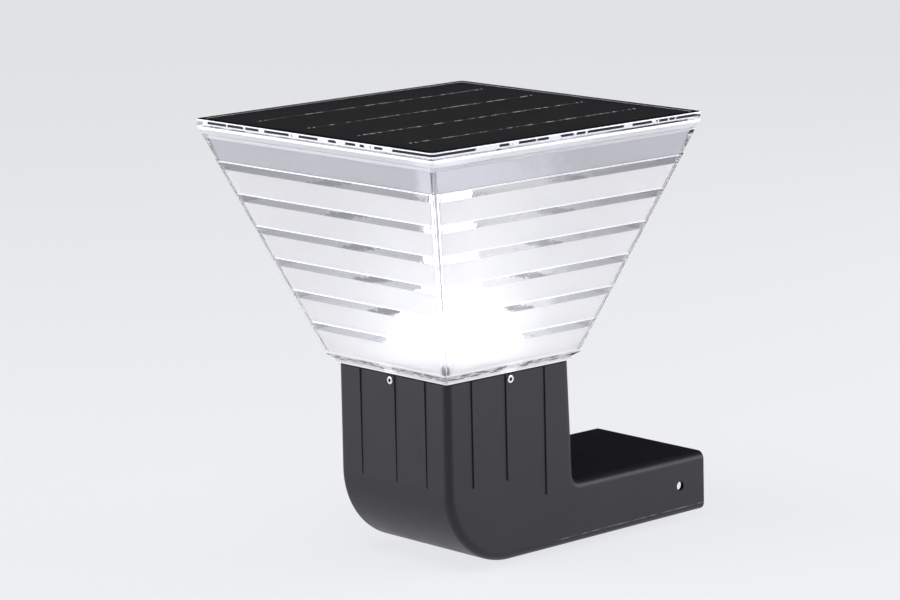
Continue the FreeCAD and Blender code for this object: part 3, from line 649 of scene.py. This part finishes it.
def frosted_acrylic(name, colour, low, high, glow=0.0, lit_tone=None):
    """Acrylic from an etched mould: it spreads the light. glow is a painted glow for light that runs inside
    the sheet, and lit_tone paints light and shade by side. Its grain, drawn coarser than it is, shows only
    as a drift in the gloss between two roughnesses."""
    material, tree = new_material(name)
    place = add_node(tree, "ShaderNodeTexCoord").outputs["Object"]
    frost = add_node(tree, "ShaderNodeTexNoise", {"Vector": place, "Scale": 1 / FROST_GRAIN, "Detail": 2.0})
    grip = add_node(tree, "ShaderNodeMapRange", {
        "Value": frost.outputs["Fac"], "From Min": NOISE_LOW, "From Max": NOISE_HIGH, "To Min": low,
        "To Max": high})
    tint = lit_side_tone(tree, place, colour, lit_tone) if lit_tone else linear(colour)
    shader = add_node(tree, "ShaderNodeBsdfPrincipled", {
        "Base Color": tint, "Roughness": grip.outputs["Result"], "IOR": ACRYLIC_IOR,
        "Transmission Weight": 0.5, "Emission Color": linear("#f4f4fa"), "Emission Strength": glow})
    add_node(tree, "ShaderNodeOutputMaterial", {"Surface": shader.outputs["BSDF"]})
    return material


def polished_acrylic(name, colour, ripple, depth, lit_tone=None):
    """Clear polished acrylic, with the faint ripple that moulding leaves, its width and depth in
    millimetres. lit_tone, if given, paints light and shade by side."""
    material, tree = new_material(name)
    place = add_node(tree, "ShaderNodeTexCoord").outputs["Object"]
    wave = add_node(tree, "ShaderNodeTexNoise", {
        "Vector": place, "Scale": 1 / (ripple * MM), "Detail": 1.0})
    bump = add_node(tree, "ShaderNodeBump", {"Height": wave.outputs["Fac"], "Distance": depth * MM})
    tint = lit_side_tone(tree, place, colour, lit_tone) if lit_tone else linear(colour)
    shader = add_node(tree, "ShaderNodeBsdfPrincipled", {
        "Base Color": tint, "Roughness": 0.04, "IOR": ACRYLIC_IOR, "Transmission Weight": 1.0,
        "Normal": bump.outputs["Normal"]})
    add_node(tree, "ShaderNodeOutputMaterial", {"Surface": shader.outputs["BSDF"]})
    return material


# A cut or moulded edge of a clear sheet gets a painted glow: an emission that stands in for light that runs
# inside the sheet and leaves there.
lit_edge, tree = new_material("glowing acrylic edge")
place = add_node(tree, "ShaderNodeTexCoord").outputs["Object"]
nick = add_node(tree, "ShaderNodeTexNoise", {"Vector": place, "Scale": 1 / EDGE_NICKS, "Detail": 3.0})
grip = add_node(tree, "ShaderNodeMapRange", {"Value": nick.outputs["Fac"], "To Min": 0.25, "To Max": 0.5})
shader = add_node(tree, "ShaderNodeBsdfPrincipled", {
    "Base Color": linear("#f0f1f6"), "Roughness": grip.outputs["Result"], "IOR": ACRYLIC_IOR,
    "Transmission Weight": 0.3, "Emission Color": linear("#f6f7ff"), "Emission Strength": 0.4})
add_node(tree, "ShaderNodeOutputMaterial", {"Surface": shader.outputs["BSDF"]})

clear = polished_acrylic("polished clear acrylic", "#f0f0f4", 14, 0.03)
lens = new_piece("frosted_lens", bm, [
    frosted_acrylic("mould-frosted acrylic", "#f8f8f9", 0.64, 0.74),
    # The stripes' grey tint is a painted shade for the dim hollow seen through them.
    polished_acrylic("polished acrylic stripe", "#cacace", 4, 0.05, lit_tone="#ffffff"),
    # The collar is tinted darker, a painted shade, and given a faint painted glow.
    frosted_acrylic("mould-frosted acrylic collar", "#a4a4a8", 0.42, 0.52, glow=0.15, lit_tone="#cacace"),
    lit_edge,
    clear,
])
round_edges(lens)
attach(lens, "light")
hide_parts("lens_shade")

# Cover seal: a square ring of translucent silicone on the collar's top edge, close inside the skirt.
# Moulded in one piece, so it is even and milky.
dress(moulded("translucent silicone", "#c0c0c4", "#c8c8cc", 0.55, 1.5, 0.02), "cover_seal")

# Top cover: the clear acrylic lid, with a rim round the panel's recess and a skirt that slopes in to the
# lens. It is polished, so its edges show as bright lines and its thick rim bends what is behind it; only
# the shoulder under the rim is frosted. A strip at the rim's top and a band under the rim have a painted
# glow, and the frosted shoulder a fainter painted glow.
RIM_TOP = cover_high.z
RIM_HEIGHT = 4.3 * MM
RIM_BOTTOM = RIM_TOP - RIM_HEIGHT
RIM_LIP = 0.9 * MM
RIM_ROUND = 0.3 * MM
SHOULDER = 1.5 * MM
SHOULDER_ROUND = 0.5 * MM
SHOULDER_LOW = RIM_BOTTOM - SHOULDER
VEIL = 2.7 * MM
VEIL_LOW = SHOULDER_LOW - VEIL
PANEL_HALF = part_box("panel_cover")[1].x
PANEL_GAP = 0.2 * MM
RECESS_HALF = PANEL_HALF + PANEL_GAP
RECESS_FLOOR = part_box("panel_tape")[0].z
COVER_WALL = 2.0 * MM
COVER_CEILING = RECESS_FLOOR - COVER_WALL
CEILING_ROUND = 1.5 * MM
COVER_CORNER = 2.0 * MM
SKIRT_EDGE = 0.8 * MM
SKIRT_ROUND = 0.2 * MM
COLLAR_GAP = 1.25 * MM
SKIRT_INSIDE = COLLAR_HIGH + COLLAR_GAP
LEAD_HOLE = 2.0 * MM
bm = square_turned([
    (LEAD_HOLE, COVER_CEILING), (SKIRT_INSIDE, COVER_CEILING), (LENS_HALF - SKIRT_EDGE, LENS_LEVEL),
    (LENS_HALF, LENS_LEVEL), (RIM_HALF, RIM_BOTTOM), (RIM_HALF, RIM_TOP), (RECESS_HALF, RIM_TOP),
    (RECESS_HALF, RECESS_FLOOR), (LEAD_HOLE, RECESS_FLOOR),
])


def is_upright(edge):
    """True for a corner edge of the rim or the skirt, but not of the recess or of the lead's hole."""
    flat = abs(edge.verts[0].co.z - edge.verts[1].co.z) < NEARLY
    in_hole = min(half_of(v.co) for v in edge.verts) < RECESS_HALF / 2
    in_recess = all(half_of(v.co) < RECESS_HALF + NEARLY and v.co.z > RECESS_FLOOR - NEARLY
                    for v in edge.verts)
    return is_corner(edge) and not (flat or in_hole or in_recess)


bmesh.ops.bevel(bm, geom=[e for e in bm.edges if is_upright(e)], offset=COVER_CORNER, offset_type="OFFSET",
                segments=4, profile=0.5, affect="EDGES", material=-1)
rim_middle = Vector((0, AXIS_Y, RIM_TOP))
for level in (RIM_TOP - RIM_LIP, SHOULDER_LOW, VEIL_LOW):
    bm.normal_update()
    outer = [f for f in bm.faces if f.normal.dot(f.calc_center_median() - rim_middle) > RIM_HALF / 2]
    slice_faces(bm, outer, (0, 0, level), (0, 0, 1))
GLOWING = 1
PRINTED = 2
VEILED = 3
# GLOWING faces get a painted glow, and VEILED faces a fainter one.
for face in bm.faces:
    middle = face.calc_center_median()
    outside = half_of(middle) > RECESS_HALF + MM
    if middle.z > RIM_TOP - NEARLY:
        face.material_index = PRINTED
    elif outside and (middle.z > RIM_TOP - RIM_LIP or SHOULDER_LOW < middle.z < RIM_BOTTOM):
        face.material_index = GLOWING
    elif outside and VEIL_LOW < middle.z < SHOULDER_LOW:
        face.material_index = VEILED


def cover_round(edge):
    """The rounding of the edges that run round the cover; its corners are round already."""
    half = max(half_of(v.co) for v in edge.verts)
    if half < RECESS_HALF / 2 or is_corner(edge):
        return 0.0
    if is_level(edge, RIM_TOP) and half > RECESS_HALF + MM:
        return RIM_ROUND
    if is_level(edge, LENS_LEVEL):
        return SKIRT_ROUND
    if is_level(edge, COVER_CEILING) and half > SKIRT_INSIDE - COVER_CORNER:
        return CEILING_ROUND
    return SHOULDER_ROUND if is_level(edge, RIM_BOTTOM) else 0.0


mark_rounds(bm, cover_round)
# The rim's top is printed black over white, so that the panel seems to reach the edge and the rim, seen
# from the side, stays light. The screen leaves a faint grain in the ink, drawn coarser than it is.
PRINT_GRAIN = 1.0 * MM
border, tree = new_material("screen print, black over white")
place = add_node(tree, "ShaderNodeTexCoord").outputs["Object"]
weave = add_node(tree, "ShaderNodeTexNoise", {"Vector": place, "Scale": 1 / PRINT_GRAIN, "Detail": 2.0})
ink = add_node(tree, "ShaderNodeMix", {
    "Factor": weave.outputs["Fac"], "A": linear("#0b0b0c"), "B": linear("#121213")}, data_type="RGBA")
back = add_node(tree, "ShaderNodeNewGeometry")
tone = add_node(tree, "ShaderNodeMix", {
    "Factor": back.outputs["Backfacing"], "A": ink.outputs["Result"], "B": linear("#e4e4ea")},
    data_type="RGBA")
shader = add_node(tree, "ShaderNodeBsdfPrincipled", {
    "Base Color": tone.outputs["Result"], "Roughness": 0.45, "Specular IOR Level": 0.2})
add_node(tree, "ShaderNodeOutputMaterial", {"Surface": shader.outputs["BSDF"]})
# The frosted band under the rim has a faint painted glow and is painted lighter towards one side.
veil = frosted_acrylic("mould-frosted acrylic shoulder", "#d0d0d4", 0.42, 0.52, glow=0.15,
                       lit_tone="#e0e0e4")
cover = new_piece("clear_cover", bm, [clear, lit_edge, border, veil])
cover.visible_shadow = False
round_edges(cover)
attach(cover, "light")
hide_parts("top_cover")

# Panel backing: a black laminate board on a frame of pale foam tape in the cover's recess.
# The board's mask is dull under the resin, and the tape is open-celled.
dress(moulded("acrylic foam tape", "#e0e0e4", "#ececf0", 0.8, 1.2, 0.03), "panel_tape")
dress(moulded("black board laminate", "#101114", "#17181c", 0.5, 1.5, 0.02, 0.02), "panel_board")

# Panel sealant: a thin bead of resin run into the gap round the panel, that seals it to the recess's wall.
# Where it wets the wall the dark panel shows through the rim. Where air is caught, and below the depth
# that the resin wets, it looks white.
BEAD_INNER = PANEL_HALF + 0.03 * MM
BEAD_OUTER = RECESS_HALF + 0.15 * MM
BEAD_BOTTOM = RECESS_FLOOR - 1.0 * MM
BEAD_TOP = RIM_TOP - 0.1 * MM
BEAD_WET = "#070a14"
BEAD_DRY = "#e8e9ee"
AIR_LENGTH = 10 * MM
AIR_DEPTH = 0.9 * MM
WET_DEPTH = 2.8 * MM
bm = square_turned([
    (BEAD_INNER, BEAD_BOTTOM), (BEAD_OUTER, BEAD_BOTTOM), (BEAD_OUTER, BEAD_TOP), (BEAD_INNER, BEAD_TOP),
])
bead, tree = new_material("cast resin with trapped air")
place = add_node(tree, "ShaderNodeTexCoord").outputs["Object"]
stretch = add_node(tree, "ShaderNodeMapping", {"Vector": place, "Scale": (1.0, 1.0, 0.25)})
patch = add_node(tree, "ShaderNodeTexNoise", {
    "Vector": stretch.outputs["Vector"], "Scale": 1 / AIR_LENGTH, "Detail": 2.0, "Roughness": 0.6})
air = add_node(tree, "ShaderNodeMapRange", {
    "Value": patch.outputs["Fac"], "From Min": 0.53, "From Max": 0.55})
xyz = add_node(tree, "ShaderNodeSeparateXYZ", {0: place})
deep = add_node(tree, "ShaderNodeMath", {
    0: xyz.outputs["Z"], 1: RIM_TOP - AIR_DEPTH}, operation="LESS_THAN")
air = add_node(tree, "ShaderNodeMath", {
    0: air.outputs["Result"], 1: deep.outputs[0]}, operation="MULTIPLY")
dry = add_node(tree, "ShaderNodeMath", {
    0: xyz.outputs["Z"], 1: RIM_TOP - WET_DEPTH}, operation="LESS_THAN")
white = add_node(tree, "ShaderNodeMath", {0: air.outputs[0], 1: dry.outputs[0]}, operation="MAXIMUM")
tone = add_node(tree, "ShaderNodeMix", {
    "Factor": white.outputs[0], "A": linear(BEAD_WET), "B": linear(BEAD_DRY)}, data_type="RGBA")
shader = add_node(tree, "ShaderNodeBsdfPrincipled", {
    "Base Color": tone.outputs["Result"], "Roughness": 0.5, "Specular IOR Level": 0.0})
add_node(tree, "ShaderNodeOutputMaterial", {"Surface": shader.outputs["BSDF"]})
sealant = new_piece("panel_sealant", bm, [bead])
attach(sealant, "light")

# Solar cells: four strips of silicon, etched nearly black, laid edge to edge on the board.
# Set in resin they have no gloss of their own; thin silver fingers cross them.
FINGER_PITCH = 2 * MM
FINGER_SHARE = 0.08
CELL_TONE_AND_SHEEN = 25 * MM
silicon, tree = new_material("etched silicon")
place = add_node(tree, "ShaderNodeTexCoord").outputs["Object"]
xyz = add_node(tree, "ShaderNodeSeparateXYZ", {0: place})
step = add_node(tree, "ShaderNodeMath", {0: xyz.outputs["Y"], 1: 1 / FINGER_PITCH}, operation="MULTIPLY")
step = add_node(tree, "ShaderNodeMath", {0: step.outputs[0]}, operation="FRACT")
finger = add_node(tree, "ShaderNodeMath", {0: step.outputs[0], 1: FINGER_SHARE}, operation="LESS_THAN")
# The silicon's tone drifts in large patches, partly its own uneven etch and partly a painted sheen.
tone_and_sheen = add_node(tree, "ShaderNodeTexNoise", {"Vector": place, "Scale": 1 / CELL_TONE_AND_SHEEN, "Detail": 4.0})
tone = add_node(tree, "ShaderNodeMix", {
    "Factor": tone_and_sheen.outputs["Fac"], "A": linear("#0b0b0c"), "B": linear("#1f1f20")}, data_type="RGBA")
tone = add_node(tree, "ShaderNodeMix", {
    "Factor": finger.outputs[0], "A": tone.outputs["Result"], "B": linear("#25262a")}, data_type="RGBA")
shader = add_node(tree, "ShaderNodeBsdfPrincipled", {
    "Base Color": tone.outputs["Result"], "Roughness": 0.5, "Specular IOR Level": 0.02})
add_node(tree, "ShaderNodeOutputMaterial", {"Surface": shader.outputs["BSDF"]})
dress(silicon, "solar_cells")

# Cell ribbons: tinned copper strips soldered down the middle of each cell, with blobs of solder at each
# end. Hand soldering leaves bright lumps and dull stretches along them; their ends are painted black.
ribbon_low, ribbon_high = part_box("cell_ribbons")
cells_low, cells_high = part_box("solar_cells")
CELLS = 4
CELL_PITCH = (cells_high.x - cells_low.x) / CELLS
RIBBON_LUMP = 5 * MM
RIBBON_END = 6.5 * MM
RIBBON_PAINT = "#131417"
BLOB_RADIUS = 0.8 * MM
BLOB_HEIGHT = 0.35 * MM
BLOB_STEP = 3.5 * MM
BLOB_SKIN = 0.8 * MM
ribbon, tree = new_material("soldered tinned copper")
place = add_node(tree, "ShaderNodeTexCoord").outputs["Object"]
lump = add_node(tree, "ShaderNodeTexNoise", {
    "Vector": place, "Scale": 1 / RIBBON_LUMP, "Detail": 4.0, "Roughness": 0.7})
# The near-white lumps are partly the solder's own shine and partly painted glints.
lumps_and_glints = add_node(tree, "ShaderNodeMapRange", {
    "Value": lump.outputs["Fac"], "From Min": 0.47, "From Max": 0.6})
tone = add_node(tree, "ShaderNodeMix", {
    "Factor": lumps_and_glints.outputs["Result"], "A": linear("#2c2b28"), "B": linear("#fffcf2")}, data_type="RGBA")
xyz = add_node(tree, "ShaderNodeSeparateXYZ", {0: place})
run = add_node(tree, "ShaderNodeMath", {0: xyz.outputs["Y"], 1: AXIS_Y}, operation="SUBTRACT")
run = add_node(tree, "ShaderNodeMath", {0: run.outputs[0]}, operation="ABSOLUTE")
painted = add_node(tree, "ShaderNodeMath", {
    0: run.outputs[0], 1: ribbon_high.y - AXIS_Y - RIBBON_END}, operation="GREATER_THAN")
tone = add_node(tree, "ShaderNodeMix", {
    "Factor": painted.outputs[0], "A": tone.outputs["Result"], "B": linear(RIBBON_PAINT)}, data_type="RGBA")
bump = add_node(tree, "ShaderNodeBump", {"Height": lump.outputs["Fac"], "Distance": 0.4 * MM})
shader = add_node(tree, "ShaderNodeBsdfPrincipled", {
    "Base Color": tone.outputs["Result"], "Metallic": 0.15, "Roughness": 0.4,
    "Normal": bump.outputs["Normal"]})
add_node(tree, "ShaderNodeOutputMaterial", {"Surface": shader.outputs["BSDF"]})
dress(ribbon, "cell_ribbons")

solder, tree = new_material("cooled solder")
place = add_node(tree, "ShaderNodeTexCoord").outputs["Object"]
grain = add_node(tree, "ShaderNodeTexNoise", {"Vector": place, "Scale": 1 / BLOB_SKIN, "Detail": 2.0})
tone = add_node(tree, "ShaderNodeMix", {
    "Factor": grain.outputs["Fac"], "A": linear("#e0ded6"), "B": linear("#fdfbf4")}, data_type="RGBA")
shader = add_node(tree, "ShaderNodeBsdfPrincipled", {
    "Base Color": tone.outputs["Result"], "Metallic": 0.1, "Roughness": 0.35})
add_node(tree, "ShaderNodeOutputMaterial", {"Surface": shader.outputs["BSDF"]})
bm = bmesh.new()
flattened = Matrix.Diagonal((1, 1, BLOB_HEIGHT / BLOB_RADIUS, 1))
for index in range(CELLS):
    x = cells_low.x + (index + 0.5) * CELL_PITCH
    for y in (ribbon_low.y + RIBBON_END, ribbon_low.y + RIBBON_END - BLOB_STEP,
              ribbon_high.y - RIBBON_END, ribbon_high.y - RIBBON_END + BLOB_STEP):
        bmesh.ops.create_uvsphere(bm, u_segments=12, v_segments=6, radius=BLOB_RADIUS,
                                  matrix=Matrix.Translation((x, y, ribbon_high.z)) @ flattened)
for face in bm.faces:
    face.smooth = True
blobs = new_piece("solder_blobs", bm, [solder])
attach(blobs, "light")

# Panel cover: clear resin cast over the cells and rolled with a fine matt texture.
# It looks black over the cells, with a faint haze and a soft sheen towards the soft boxes.
BED_DEPTH = 0.05 * MM
PANEL_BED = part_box("panel_board")[1].z - BED_DEPTH
PANEL_ROUND = 0.3 * MM
PANEL_PEEL = 1.2 * MM
resin, tree = new_material("cast panel resin")
place = add_node(tree, "ShaderNodeTexCoord").outputs["Object"]
peel = add_node(tree, "ShaderNodeTexNoise", {"Vector": place, "Scale": 1 / PANEL_PEEL, "Detail": 2.0})
bump = add_node(tree, "ShaderNodeBump", {"Height": peel.outputs["Fac"], "Distance": 0.01 * MM})
shader = add_node(tree, "ShaderNodeBsdfPrincipled", {
    "Base Color": linear("#f4f4f4"), "Roughness": 0.22, "IOR": 1.45, "Transmission Weight": 0.975,
    "Normal": bump.outputs["Normal"]})
add_node(tree, "ShaderNodeOutputMaterial", {"Surface": shader.outputs["BSDF"]})
bm = square_turned([(0, PANEL_BED), (PANEL_HALF, PANEL_BED), (PANEL_HALF, RIM_TOP), (0, RIM_TOP)])


def panel_round(edge):
    """The rounding of the panel's top edges and of the corners between its sides."""
    at_side = min(half_of(v.co) for v in edge.verts) > PANEL_HALF - NEARLY
    at_top = max(v.co.z for v in edge.verts) > RIM_TOP - NEARLY
    return PANEL_ROUND if at_side and at_top else 0.0


mark_rounds(bm, panel_round)
panel = new_piece("panel_face", bm, [resin])
panel.visible_shadow = False
round_edges(panel)
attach(panel, "light")
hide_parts("panel_cover")
